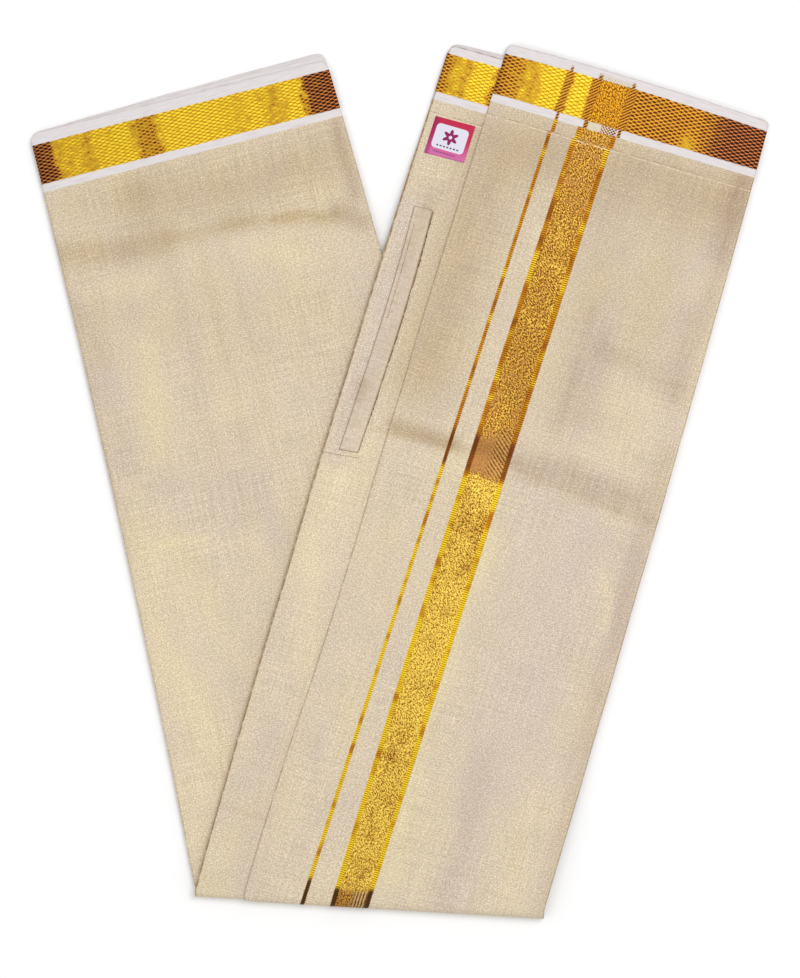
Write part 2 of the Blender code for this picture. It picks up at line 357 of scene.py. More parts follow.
def weave_place(across, along, lines, short, bulge):
    """The map's two numbers for a point of the cloth, on a sheet that stops short of its leg's end."""
    leg, share = on_leg(along)
    width_share = share_across(leg, across, share)
    spot = plan_point(leg, width_share, share)
    outer, inner = EDGES[leg]
    length = outer.length + (inner.length - outer.length) * width_share
    from_selvedge = (1 - share) * length - short
    from_selvedge += bulge * arched(across) * max(0.0, 1 - from_selvedge / BULGE_REACH)
    if 0 < along < 1:
        round_turn = math.pi * (1 - along) * (TURN_INNER_RADIUS + CORE_FULL + LAYER_SPACE)
        from_selvedge += round_turn
        spot = spot + INWARDS @ Vector((0.0, -round_turn))
    if lines:
        return front_place(spot - ORIGIN), from_selvedge
    width = (plan_point(leg, 1, share) - plan_point(leg, 0, share)).length
    return width_share * width, from_selvedge


print("the band is", round((BAND_END - BAND_START) / MM), "mm wide")

# %% [markdown]
# ## Painted light and shade, and the cloth's tint
#
# Tissue cloth looks dull and brown along a crease, pinkish where its gold thread lies deep, and pale and
# yellow where it is smooth. The darker and paler parts of that are light and shade, and here they are
# painted into the colour in soft patches. These are also given one by one, and stored on the points of
# the mesh as two numbers that the materials read: the painted light and shade, and how warm the cloth is.

# %% Soft patches
Patch = namedtuple("Patch", "path width light warm")
PATCHES = {
    "left": (
        # the left leg: painted shade below the border and in an arched crease, and painted light towards
        # the turn
        Patch(((-245, 208), (-200, 214)), 18, -0.22, 0.15),
        Patch(((-190, 212), (-130, 220), (-60, 240)), 26, -0.54, 0.05),
        Patch(((-252, 170), (-205, 173), (-180, 178)), 11, -0.60, 0.20),
        Patch(((-172, 182), (-110, 194), (-50, 198)), 6, -0.36, 0.20),
        Patch(((-130, 192), (-114, 195)), 6, -0.26, 0.25),
        Patch(((-94, 196), (-72, 201), (-58, 197)), 4, -0.42, 0.45),
        Patch(((-46, 202), (-28, 194)), 8, -0.62, -0.25),
        Patch(((-49, 272), (-33, 214)), 6, -0.55, -0.30),
        Patch(((-150, 180), (-134, 110), (-116, 30)), 4, -0.14, -0.05),
        Patch(((-131, 181), (-112, 110), (-98, 44)), 3, -0.14, 0.00),
        Patch(((-168, 150), (-152, 80), (-138, 14)), 4, -0.12, 0.00),
        Patch(((-237, 128), (-222, 92)), 12, -0.24, -0.25),
        Patch(((-221, 74), (-205, 14)), 10, -0.14, -0.40),
        Patch(((-214, 146), (-192, 148)), 9, 0.16, 0.50),
        Patch(((-190, 96), (-180, 20)), 9, 0.18, 0.40),
        Patch(((-120, 176), (-72, 170)), 10, 0.14, 0.40),
        Patch(((-276, 240), (-240, 110), (-196, -90), (-158, -300)), 4, -0.20, -0.20),
        Patch(((-192, -56), (-170, -45), (-146, -43)), 4, 0.40, 0.45),
        Patch(((-150, -50), (-108, -45)), 5, 0.35, 0.25),
        Patch(((-200, 136), (-150, 120), (-60, 122)), 38, -0.16, 0.00),
        Patch(((-120, 20), (-96, -36)), 20, -0.10, -0.35),
        Patch(((-176, -4), (-128, -14)), 16, -0.08, -0.35),
        Patch(((-178, -90), (-136, -260)), 34, 0.46, 0.35),
        Patch(((-125, -150), (-118, -220)), 9, -0.20, -0.40),
    ),
    "right": (
        # the right leg above its crease
        Patch(((72, 250), (52, 190), (30, 120), (18, 84)), 29, -0.66, 0.05),
        Patch(((2, 238), (-6, 212)), 10, -0.30, -0.10),
        Patch(((24, 215), (20, 206)), 7, -0.30, -0.30),
        Patch(((112, 246), (180, 232), (240, 212)), 26, -0.64, 0.00),
        Patch(((156, 200), (130, 60)), 26, -0.36, 0.00),
        Patch(((206, 190), (186, 110)), 22, -0.28, 0.05),
        Patch(((256, 222), (240, 172)), 12, -0.34, -0.40),
        Patch(((144, 130), (134, 92), (116, 32)), 3, -0.20, -0.20),
        Patch(((154, 110), (136, 40)), 12, -0.04, -0.50),
        Patch(((152, 98), (178, 86), (204, 68)), 9, -0.28, -0.20),
        Patch(((216, 126), (206, 84)), 9, -0.16, -0.40),
        Patch(((176, 56), (166, 16)), 12, 0.06, 0.15),
        # the waist strip and the welt on it
        Patch(((8, 206), (-12, 135), (-48, 22)), 8, 0.06, -1.00),
        Patch(((34, 205), (12, 130), (-22, 26)), 5, 0.04, 0.10),
        Patch(((17, 203), (3, 158)), 5, -0.34, 0.10),
        Patch(((-26, 72), (-30, 62)), 6, -0.80, 0.10),
        Patch(((-40, 45), (-34, 44)), 3, -0.45, 0.40),
        Patch(((-19, 39), (-10, 36)), 2, -0.60, 0.30),
        Patch(((-56, 62), (-62, 34)), 3, -0.55, 0.50),
        # its crease: painted shade, a brown smudge in uneven parts with a sharper lower edge, and a
        # painted pale line below
        Patch(((-4, 41), (16, 36), (38, 29)), 6, -0.80, 0.05),
        Patch(((-4, 36), (16, 31), (36, 25)), 3, -0.40, 0.20),
        Patch(((40, 26), (84, 13)), 4, -0.36, 0.00),
        Patch(((84, 17), (124, 5), (174, -13)), 10, -0.50, -0.45),
        Patch(((90, 8), (120, -5), (146, -15), (164, -22)), 4, -0.36, 0.00),
        Patch(((164, -23), (196, -31)), 4, -0.24, -0.10),
        Patch(((-30, 24), (10, 18), (44, 10)), 6, 0.24, 0.15),
        Patch(((90, -10), (124, -24), (158, -42)), 6, 0.00, -0.45),
        # below the crease
        Patch(((-46, -2), (-62, -60)), 15, 0.75, 0.30),
        Patch(((-66, -80), (-84, -140)), 14, 0.35, 0.00),
        Patch(((136, -50), (92, -160), (80, -205)), 34, 0.02, -0.85),
        Patch(((66, -40), (48, -92), (34, -130)), 7, 0.42, 0.75),
        Patch(((30, -140), (14, -190), (-6, -290)), 13, 0.30, 0.70),
        Patch(((150, -64), (156, -86), (154, -112)), 3, 0.34, 0.75),
        Patch(((172, -60), (164, -120)), 9, -0.10, -0.70),
        Patch(((62, -205), (52, -250), (34, -312)), 10, -0.20, -0.75),
        Patch(((102, -225), (84, -312)), 13, 0.20, 0.20),
        Patch(((-92, -190), (-118, -300)), 12, -0.10, -0.30),
        Patch(((-100, -252), (-140, -240)), 3, -0.32, 0.00),
        # along the right edge: painted shade where the layers roll under
        Patch(((262, 232), (236, 150), (206, 60)), 8, -0.32, -0.25),
        Patch(((200, 20), (150, -160), (110, -318)), 9, -0.32, -0.20),
    ),
}


def painted_light_and_tint(leg, spot):
    """How light and how warm the cloth is at a floor point, each from about -1 to 1: painted light and
    shade, and tint.
    """
    in_mm = spot / MM
    light = warm = 0.0
    for patch in PATCHES[leg]:
        amount = strength(patch, in_mm)
        light += patch.light * amount
        warm += patch.warm * amount
    return min(max(light, -1.2), 1.2), min(max(warm, -1.0), 1.0)


print(sum(map(len, PATCHES.values())), "soft patches")

# %% [markdown]
# ## Cutting a sheet
#
# Every layer is one closed sheet: a grid, a second grid as its lid, and a rounded rim between them, which
# is grown from the first grid's edge in four steps. While it is built, each point's coordinates are just
# its column, row and level. That makes the shape a plain box, whose faces are easily turned outwards, and
# only then is every point laid in its place. Solidify would do for a flat sheet, but it would push these
# layers into each other where they turn over.

# %% Rows, columns and rims
RIM_STEPS = 4
CORNER_RADIUS = 7 * MM
NO_INSET = (0.0, 0.0, 0.0)
END_ZONE = 0.94
SAME_POINT = 0.01
EDGE_DROP = 0.5 * MM
EDGE_REACH = 9 * MM


def evenly(first, last, step):
    """Numbers from first to last, about a step apart."""
    count = max(1, round((last - first) / step))
    return [first + (last - first) * number / count for number in range(count + 1)]


def joined(*runs):
    """Several runs of stations end to end, without their shared ones."""
    stations = []
    for run in runs:
        stations.extend(run if not stations else run[1:])
    return stations


def rim(face, thickness):
    """Height and inset of each level of a rounded rim."""
    radius = thickness / 2
    turns = [math.pi * (step / RIM_STEPS - 0.5) for step in range(RIM_STEPS + 1)]
    return [(face + radius * (1 + math.sin(turn)), radius * (1 - math.cos(turn))) for turn in turns]


def short_of_end(end, across):
    """How far a sheet stops short of its leg's end: a number for each side, and one for a bulge."""
    return end[0] + (end[1] - end[0]) * across - end[2] * arched(across)


def at_end(share, across, end):
    """Draws the last rows of a leg to the sheet's own end line."""
    if share <= END_ZONE:
        return share
    last = 1 - short_of_end(end, across) / LEG_LENGTH
    return END_ZONE + (share - END_ZONE) * (last - END_ZONE) / (1 - END_ZONE)


def rounded_corner(from_side, from_end, radius):
    """Moves a point that is near a corner inside the corner's arc."""
    if from_side >= radius or from_end >= radius:
        return from_side, from_end
    side = 1 - from_side / radius
    end = 1 - from_end / radius
    side, end = side * math.sqrt(1 - end * end / 2), end * math.sqrt(1 - side * side / 2)
    return (1 - side) * radius, (1 - end) * radius


print("a rim has", RIM_STEPS + 1, "levels")

# %% One sheet of cloth
Sheet = namedtuple(
    "Sheet", "columns rows face thickness sway left_end right_end corner lines bow",
    defaults=(NO_INSET, NO_INSET, CORNER_RADIUS, False, 0.0),
)


def bowed(share):
    """How far a bowed piece swings out of its straight line, from 0 at its ends to 1 past its middle."""
    share = min(max(share, 0.0), 1.0)
    return arched(share) * (0.75 + 0.5 * share)


def sheet_point(sheet, column, row, inset):
    """Across and along for one point of a sheet, with its rim drawn in and its edge swaying a little."""
    across = sheet.columns[column]
    along = sheet.rows[row]
    first, last = sheet.columns[0], sheet.columns[-1]
    if column in (0, len(sheet.columns) - 1):
        sway = sheet.sway * (1 + noise.noise(Vector((along * 9, sheet.face / MM * 7, column)))) / 2
        inwards = 1 if column == 0 else -1
        across += inwards * (inset + sway) / STRIP_WIDTH
    across += sheet.bow * bowed((along - sheet.rows[0]) / (sheet.rows[-1] - sheet.rows[0])) / STRIP_WIDTH
    if 0 <= along <= 1:
        return across, along
    left = along < 0
    end = sheet.left_end if left else sheet.right_end
    frayed = noise.noise(Vector((across * 14, sheet.face / MM * 5, along))) * 0.4 * sheet.sway
    end = (end[0] + inset + frayed, end[1] + inset + frayed, end[2])
    share = at_end(-along if left else along - 1, across, end)
    if sheet.rows[0] == -1 if left else sheet.rows[-1] == 2:
        end_share = at_end(1.0, across, end)
        near_first = across - first < last - across
        side, inwards = (first, 1) if near_first else (last, -1)
        from_side, from_end = rounded_corner(
            abs(across - side) * STRIP_WIDTH, (end_share - share) * LEG_LENGTH, sheet.corner
        )
        across = side + inwards * from_side / STRIP_WIDTH
        share = end_share - from_end / LEG_LENGTH
    return across, -share if left else share + 1


def placed(name, data):
    """A new object of the scene, at the origin."""
    made = bpy.data.objects.new(name, data)
    bpy.context.scene.collection.objects.link(made)
    return made


def as_object(name, bm):
    """Turns a finished bmesh into an object."""
    mesh = bpy.data.meshes.new(name)
    bm.to_mesh(mesh)
    bm.free()
    return placed(name, mesh)


def cloth(name, sheet):
    """Makes a closed sheet of cloth, with its weave map, its painted light and shade and tint, and its
    turn.
    """
    bm = bmesh.new()
    wide = len(sheet.columns) - 1
    long = len(sheet.rows) - 1
    bmesh.ops.create_grid(bm, x_segments=wide, y_segments=long, size=0.5)
    bmesh.ops.transform(bm, matrix=Matrix.Diagonal((wide, long, 1, 1)), verts=bm.verts)
    bmesh.ops.translate(bm, vec=(wide / 2, long / 2, 0), verts=bm.verts)
    edge = [part for part in bm.edges if part.is_boundary]
    lid = bmesh.ops.duplicate(bm, geom=bm.verts[:] + bm.edges[:] + bm.faces[:])["geom"]
    lid_points = [part for part in lid if isinstance(part, bmesh.types.BMVert)]
    bmesh.ops.translate(bm, vec=(0, 0, RIM_STEPS), verts=lid_points)
    for _ in range(RIM_STEPS):
        grown = bmesh.ops.extrude_edge_only(bm, edges=edge)["geom"]
        raised = [part for part in grown if isinstance(part, bmesh.types.BMVert)]
        bmesh.ops.translate(bm, vec=(0, 0, 1), verts=raised)
        edge = [part for part in grown if isinstance(part, bmesh.types.BMEdge) and part.is_boundary]
    bmesh.ops.remove_doubles(bm, verts=bm.verts, dist=SAME_POINT)
    bmesh.ops.recalc_face_normals(bm, faces=bm.faces)

    levels = rim(sheet.face, sheet.thickness)
    light, warm, turn, at_rim = map(bm.verts.layers.float.new, ("light", "warm", "turn", "rim"))
    map_layer = bm.loops.layers.uv.new("Weave")
    places = {}
    for vert in bm.verts:
        column, row, level = (round(value) for value in vert.co)
        height, inset = levels[level]
        across, along = sheet_point(sheet, column, row, inset)
        if sheet.lines:
            height -= EDGE_DROP * (1 - ease((across - FRONT_EDGE_AT_TURN) * STRIP_WIDTH / EDGE_REACH))
        vert.co = lay(across, along, height)
        leg, share = on_leg(along)
        end = sheet.left_end if leg == "left" else sheet.right_end
        places[vert] = weave_place(across, along, sheet.lines, max(end[0], 0.0), end[2])
        vert[light], vert[warm] = painted_light_and_tint(leg, vert.co.xy)
        vert[turn] = max(0.0, 1 - share * LEG_LENGTH / TURN_REACH)
        vert[at_rim] = 1.0 if column in (0, wide) or row in (0, long) else 0.0
    for face in bm.faces:
        face.smooth = True
        for loop in face.loops:
            loop[map_layer].uv = places[loop.vert]
    piece = as_object(name, bm)
    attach(piece, "root")
    print(name, "has", len(piece.data.polygons), "faces")
    return piece


# %% [markdown]
# ## The hidden layers
#
# Six folded leaves lie between the faces. Only their rims are ever seen, at the ends and along the sides,
# so their grids are coarse in the middle and fine at the rim. Each stops at its own line, a millimetre or
# so from the next, which gives the stacked look of a pile of folded cloth.

# %% Six leaves
LEAF_THICKNESS = 0.5 * MM
LEAF_BULGE = 1.2 * MM
Leaf = namedtuple("Leaf", "left_end right_end sway")
LEAVES = (
    Leaf(left_end=(-0.8, -3.4), right_end=(9.4, 1.0), sway=0.5),
    Leaf(left_end=(-1.4, -4.6), right_end=(9.0, 0.2), sway=1.3),
    Leaf(left_end=(-2.0, -5.8), right_end=(8.3, -0.9), sway=0.7),
    Leaf(left_end=(-1.7, -6.6), right_end=(8.8, -1.7), sway=1.4),
    Leaf(left_end=(-0.9, -6.0), right_end=(9.3, -0.8), sway=0.6),
    Leaf(left_end=(-0.3, -5.1), right_end=(9.9, -0.1), sway=1.2),
)
leaf_columns = joined(
    [0.0, 0.004, 0.012, 0.03], evenly(0.03, 0.97, 0.085), [0.97, 0.988, 0.996, 1.0]
)
leaf_rows = joined(
    [-1.0, -0.996, -0.988, -0.975], evenly(-0.975, -0.02, 0.02), [-0.02, 0.0],
    evenly(0.0, 1.0, 0.05), [1.0, 1.02], evenly(1.02, 1.975, 0.02), [1.975, 1.988, 1.996, 2.0],
)
leaf_pitch = CORE_FULL / len(LEAVES)
leaves = []
for number, leaf in enumerate(LEAVES):
    leaves.append(cloth(f"inner_leaf_{number + 1}", Sheet(
        columns=leaf_columns,
        rows=leaf_rows,
        face=number * leaf_pitch + (leaf_pitch - LEAF_THICKNESS) / 2,
        thickness=LEAF_THICKNESS,
        left_end=(leaf.left_end[0] * MM, leaf.left_end[1] * MM, LEAF_BULGE),
        right_end=(leaf.right_end[0] * MM, leaf.right_end[1] * MM, 0.0),
        sway=leaf.sway * MM,
    )))
    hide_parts("hidden_layers")

# %% [markdown]
# ## The faces that show
#
# Three sheets lie outside the leaves: the plain left face, the waist layer that carries the label and
# pocket, and the front layer on top, whose free edge runs down the right leg. They are the parts that the
# eye rests on, so their grids are fine, three millimetres to a cell.

# %% Left face, waist layer and front layer
FACE_THICKNESS = 0.7 * MM
CELL_ACROSS = 3 * MM / STRIP_WIDTH
CELL_ALONG = 3 * MM / LEG_LENGTH
LEFT_FACE = -1.3 * MM
WAIST_FACE = CORE_FULL + 0.6 * MM
FRONT_FACE = CORE_FULL + 1.9 * MM
TURN_START = 0.30
TURN_CELL = 0.035
LEFT_FACE_END = (-1.4 * MM, 0.0, 0.0)
WAIST_END = (10.3 * MM, 10.3 * MM, 0.0)
FRONT_END = (-0.2 * MM, 0.3 * MM, 3.0 * MM)

right_rows = joined(evenly(TURN_START, 1.0, TURN_CELL), evenly(1.0, 2.0, CELL_ALONG))
left_cloth = cloth("left_face_cloth", Sheet(
    columns=evenly(0.0, 1.0, CELL_ACROSS),
    rows=evenly(-1.0, -0.004, CELL_ALONG),
    face=LEFT_FACE,
    thickness=FACE_THICKNESS,
    left_end=LEFT_FACE_END,
    sway=0.3 * MM,
))
waist_cloth = cloth("waist_cloth", Sheet(
    columns=joined(evenly(0.0, 0.2, CELL_ACROSS), evenly(0.2, 1.0, 5 * CELL_ACROSS)),
    rows=right_rows,
    face=WAIST_FACE,
    thickness=FACE_THICKNESS,
    right_end=WAIST_END,
    sway=1.2 * MM,
    corner=5 * MM,
))
front_cloth = cloth("front_cloth", Sheet(
    columns=evenly(FRONT_EDGE_AT_TURN, 1.0, CELL_ACROSS),
    rows=right_rows,
    face=FRONT_FACE,
    thickness=FACE_THICKNESS,
    right_end=FRONT_END,
    sway=0.8 * MM,
    corner=4 * MM,
    lines=True,
))
face_nodes = ((left_cloth, "left_panel"), (waist_cloth, "waist_panel"), (front_cloth, "front_panel"))
for face_cloth, node in face_nodes:
    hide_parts(node)

# %% [markdown]
# ## The pocket welt and the label
#
# Both are sewn on the waist layer, so they are cut from the same lattice and lie just above it. The welt
# is a narrow folded strip over the pocket's mouth, and the label is a small square of satin.

# %% Cut the welt and the label
WELT_ACROSS = (0.28, 0.62)
WELT_ALONG = (0.513, 0.798)
WELT_BOW = 1.9 * MM
SEWN_CELL = 1.2 * MM
SEWN_FACE = WAIST_FACE + FACE_THICKNESS + 0.05 * MM


def sewn_on(name, across, along, thickness, corner, node, bow=0.0):
    """A small sheet that lies on the waist layer."""
    first, last = on_waist_strip(across[0]), on_waist_strip(across[1])
    piece = cloth(name, Sheet(
        columns=evenly(first, last, SEWN_CELL / STRIP_WIDTH),
        rows=evenly(1 + along[0], 1 + along[1], SEWN_CELL / LEG_LENGTH),
        face=SEWN_FACE,
        thickness=thickness,
        sway=0.15 * MM,
        corner=corner,
        bow=bow,
    ))
    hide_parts(node)
    return piece


welt = sewn_on(
    "welt_cloth", WELT_ACROSS, WELT_ALONG, 0.75 * MM, 1 * MM, "pocket_welt", bow=WELT_BOW
)
label = sewn_on(
    "label_satin_tag", LABEL_ACROSS, LABEL_ALONG, 0.45 * MM, 1 * MM, "sewn_label"
)

# %% [markdown]
# ## The whole cloth
#
# The whole dhoti is one length, two metres of 1.27 metre wide cloth.

# %% [markdown]
# ## Writing a finish as sums
#
# A woven finish is worked out by nodes: where is this point on the cloth, is it on a thread or between
# two, and is it gold or cotton there. Written as plain sums such nodes are easy to read, so a small class
# stands for the output of a node, and each sum on it adds the Math node that does it.

# %% A small language for materials
class Signal:
    """A number, colour or direction that a material works out at each point of a surface."""

    def __init__(self, finish, socket):
        self.finish = finish
        self.socket = socket

    def maths(self, operation, *others):
        values = dict(enumerate((self,) + others))
        return self.finish.add("Math", {"operation": operation}, values)

    def __add__(self, other):
        return self.maths("ADD", other)

    def __sub__(self, other):
        return self.maths("SUBTRACT", other)

    def __rsub__(self, other):
        return self.finish.add("Math", {"operation": "SUBTRACT"}, {0: other, 1: self})

    def __mul__(self, other):
        return self.maths("MULTIPLY", other)

    def __truediv__(self, other):
        return self.maths("DIVIDE", other)

    __radd__ = __add__
    __rmul__ = __mul__

    def rising(self, low, high):
        """0 below low, 1 above high, and a soft step between."""
        settings = {"interpolation_type": "SMOOTHSTEP"}
        return self.finish.add("MapRange", settings, {"Value": self, "From Min": low, "From Max": high})

    def within(self, low, high, soft):
        """1 between low and high, with soft borders."""
        return self.rising(low - soft, low + soft) * (1 - self.rising(high - soft, high + soft))

    def wave(self, period):
        """A cosine with the given period, from -1 to 1."""
        return (self * (2 * math.pi / period)).maths("COSINE")


class Finish:
    """One material. All its nodes come from add."""

    def __init__(self, name):
        self.material = bpy.data.materials.new(name)
        self.material.use_nodes = True
        self.tree = self.material.node_tree
        self.tree.nodes.clear()

    def add(self, kind, settings=None, values=None, output=0):
        """Adds a node: first its settings, or a ramp's stops, and then its sockets' values or links."""
        node = self.tree.nodes.new("ShaderNode" + kind)
        for name, value in (settings or {}).items():
            if name == "stops":
                self.set_stops(node.color_ramp, value)
            else:
                setattr(node, name, value)
        for name, value in (values or {}).items():
            if isinstance(value, Signal):
                self.tree.links.new(value.socket, node.inputs[name])
            else:
                node.inputs[name].default_value = value
        return Signal(self, node.outputs[output]) if node.outputs else node

    def set_stops(self, ramp, stops):
        while len(ramp.elements) > 1:
            ramp.elements.remove(ramp.elements[-1])
        for number, (position, colour) in enumerate(stops):
            stop = ramp.elements[0] if number == 0 else ramp.elements.new(position)
            stop.position = position
            stop.color = colour

    def mix(self, share, first, second, blend="MIX"):
        """A colour between two others: the first where share is 0, the second where it is 1."""
        settings = {"data_type": "RGBA", "blend_type": blend}
        return self.add("Mix", settings, {0: share, 6: first, 7: second}, output=2)

    def cotton_map(self):
        """Across and along the cloth, in millimetres, from the piece's own map."""
        place = self.add("UVMap", {"uv_map": "Weave"})
        split = self.add("SeparateXYZ", None, {0: place})
        across = split * (1 / MM)
        along = Signal(self, split.socket.node.outputs[1]) * (1 / MM)
        return across, along

    def grain(self, across, along, wide, long, detail=2.0, seed=0.0):
        """Noise whose grains are wide and long in millimetres, from 0 to 1 and about 0.5."""
        place = self.add("CombineXYZ", None, {0: across / wide, 1: along / long, 2: seed})
        values = {"Vector": place, "Scale": 1.0, "Detail": detail}
        return self.add("TexNoise", {"noise_dimensions": "3D"}, values)

    def stored(self, name):
        return self.add("Attribute", {"attribute_name": name}, output=2)

    def number_between(self, share, first, second):
        return self.add("Mix", {"data_type": "FLOAT"}, {0: share, 2: first, 3: second})

    def raised(self, height, strength, distance):
        """The small relief of threads, as a direction for Normal."""
        values = {"Strength": strength, "Distance": distance * MM, "Height": height}
        return self.add("Bump", None, values)

    def surface(self, values):
        """Ends the material with its surface shader, and gives it back."""
        shader = self.add("BsdfPrincipled", None, values)
        self.add("OutputMaterial", None, {"Surface": shader})
        return self.material


def srgb(red, green, blue):
    """A colour as a picture stores it, from 0 to 255, made linear for a shader."""
    parts = []
    for part in (red, green, blue):
        value = part / 255
        parts.append(value / 12.92 if value <= 0.04045 else ((value + 0.055) / 1.055) ** 2.4)
    return (*parts, 1.0)


print("a mid grey of 128 is", round(srgb(128, 128, 128)[0], 3), "to a shader")

# %% [markdown]
# ## Tissue cloth
#
# Tissue is cotton with fine gold thread for weft. From a distance it is a warm beige that glitters, close
# by it is a plain weave with irregular threads. The colour is built in layers: two tones for the large
# soft patches, then grains about a thread or two wide, then a few bright flecks where gold lies on top.
# Over it lies the painted light and shade that is stored on the mesh, darker in the creases and paler
# where the cloth is smooth.

# %% Threads and colour of the plain cloth
PINK_BEIGE = srgb(208, 193, 180)
YELLOW_BEIGE = srgb(220, 205, 168)
FLECK = srgb(246, 231, 196)
THREAD_SHADE = srgb(150, 126, 96)
EDGE_BROWN = srgb(128, 90, 44)
# how far the painted light lifts the colour
PAINTED_LIGHT_LIFT = 0.11
# what shows on the cloth, in mm: wide and long for each
THREAD_WIDE, THREAD_LONG = 0.75, 3.0
STREAK_WIDE, STREAK_LONG = 1.2, 40
GRAIN = (1.15, 0.95)
TONE_PATCH = (30, 70)
SOFT_PATCH = (16, 22)
STREAKY_PLACE = (70, 90)
# painted shade: the darkest colour that it multiplies in
PAINTED_SHADE_TINT = (0.70, 0.635, 0.55, 1.0)


def tissue(finish, across, along, warm, light=1.0):
    """Colour and relief of the plain cloth, with its painted light and shade. warm, about 0.5, is its
    place from pinkish to yellow.
    """
    large = finish.grain(across, along, *TONE_PATCH, detail=3.0, seed=2.0)
    tone = (finish.stored("warm") * 0.5 + (large - 0.5) * 0.9 + warm).rising(-0.1, 1.1)
    colour = finish.mix(tone, PINK_BEIGE, YELLOW_BEIGE)
    weft = finish.grain(across, along, THREAD_LONG, THREAD_WIDE, detail=1.0, seed=5.0)
    warp = finish.grain(across, along, THREAD_WIDE, THREAD_LONG, detail=1.0, seed=7.0)
    speckle = finish.grain(across, along, *GRAIN, detail=1.0, seed=9.0)
    threads = (weft + warp) * 0.5
    height = threads * 0.5 + speckle * 0.5
    shade = (speckle * 0.55 + threads * 0.45).rising(0.60, 0.36)
    colour = finish.mix(shade * 0.45, colour, THREAD_SHADE)
    fleck = (speckle * 0.7 + weft * 0.3).rising(0.52, 0.70)
    colour = finish.mix(fleck * 0.55, colour, FLECK)
    soft = finish.grain(across, along, *SOFT_PATCH, detail=2.0, seed=14.0) - 0.5
    straight = finish.grain(across, along, STREAK_LONG, STREAK_WIDE, detail=1.0, seed=15.0)
    upright = finish.grain(across, along, STREAK_WIDE, STREAK_LONG, detail=1.0, seed=17.0)
    straight = straight + upright - 1
    in_places = finish.grain(across, along, *STREAKY_PLACE, detail=0.0, seed=18.0).rising(0.30, 0.60)
    # painted light and shade: the stored light number multiplies the colour darker below 0, and lifts it
    # above 0
    painted_light_shade = finish.stored("light")
    colour = finish.mix(painted_light_shade.maths("MINIMUM", 0.0) * -1, colour, PAINTED_SHADE_TINT, blend="MULTIPLY")
    value = painted_light_shade.maths("MAXIMUM", 0.0) * PAINTED_LIGHT_LIFT + soft * 0.12
    value = value + straight * (in_places * 0.28 + 0.06) + light
    colour = finish.add("HueSaturation", None, {"Value": value, "Color": colour})
    return colour, height


# %% [markdown]
# ## The border
#
# A dhoti's border is woven at its selvedges: a white cotton edge, 30 mm of gold thread, and a white line.
# The gold lies in a lattice of small lens-shaped floats, staggered like bricks, 6.2 mm apart along a row
# and 1.34 mm from row to row. Where the light catches it the floats shine and the ground is olive brown.
# Where it doesn't, the floats are dark and a copper net shows between them. One number, the shine, says
# which.

# %% The gold lattice
OUTER_WHITE = 7.5
GOLD_END = 37.5
INNER_WHITE = 43.5
FLOAT_PERIOD = 6.2
FLOAT_ROW = 1.34
COTTON_WHITE = srgb(215, 209, 209)
GOLD_FLOAT = srgb(240, 208, 54)
GOLD_GROUND = srgb(172, 122, 10)
COPPER_NET = srgb(208, 146, 42)
COPPER_FLOAT = srgb(78, 32, 4)
DARK_NET = srgb(190, 112, 60)
DARK_FLOAT = srgb(40, 13, 5)


def lattice(finish, across, along):
    """The staggered floats: pointed lenses, 1 in the middle of a float and 0 on the net between them."""
    jog = (finish.grain(across, along, 4, 4, seed=3.0) - 0.5) * 1.1
    both = (across + jog).wave(FLOAT_PERIOD) + (along + jog * 0.3).wave(2 * FLOAT_ROW)
    return (both * 0.5).maths("ABSOLUTE")


def gold_border(finish, across, along, shine):
    """Colour and relief of the gold: maroon where shine is 0, copper at 0.5 and bright yellow at 1."""
    floats = lattice(finish, across, along)
    unlike = finish.grain(across, along, 3.1, 1.3, detail=0.0, seed=12.0)
    lens = floats.rising(0.06, 0.50)
    bright = finish.mix(lens * (0.2 + unlike * 1.5), GOLD_GROUND, GOLD_FLOAT)
    copper = finish.mix(floats.rising(0.28, 0.52) * (0.6 + unlike * 0.8), COPPER_NET, COPPER_FLOAT)
    dark = finish.mix(floats.rising(0.08, 0.30), DARK_NET, DARK_FLOAT)
    dull = finish.mix(shine.rising(0.10, 0.45), dark, copper)
    mottle = finish.grain(across, along, 1.3, 0.9, detail=1.0, seed=16.0)
    bright = finish.mix(mottle.rising(0.48, 0.30) * 0.4, bright, GOLD_GROUND)
    return finish.mix(shine.rising(0.42, 0.90), dull, bright), lens


def zones(finish, across, first, last, stops):
    """Shine along a border, from a short table of places in mm and values."""
    span = last - first
    ramp = [((place - first) / span, (value, value, value, 1.0)) for place, value in stops]
    value = finish.add("ValToRGB", {"stops": ramp}, {0: (across - first) / span})
    return finish.add("SeparateColor", None, {0: value})


# %% [markdown]
# ## The cross band and the thin line
#
# Both run the length of the front layer. The band's body is a fine gold twill with a worm-like grain, and
# its two edges are ladders of short crisp dashes. Their shine changes along the length, dark at the
# crease and at the turn, and where the band crosses the border its edges go into a dark herringbone.

# %% The woven band
THIN_HALF = 1.35
TOOTH = 1.65
LADDER = 3.6
BAND = (BAND_START / MM, BAND_END / MM)
BAND_LIT = (srgb(150, 100, 14), srgb(243, 210, 93))
BAND_DULL = (srgb(102, 58, 6), srgb(219, 167, 68))
BAND_PINK = srgb(172, 122, 72)
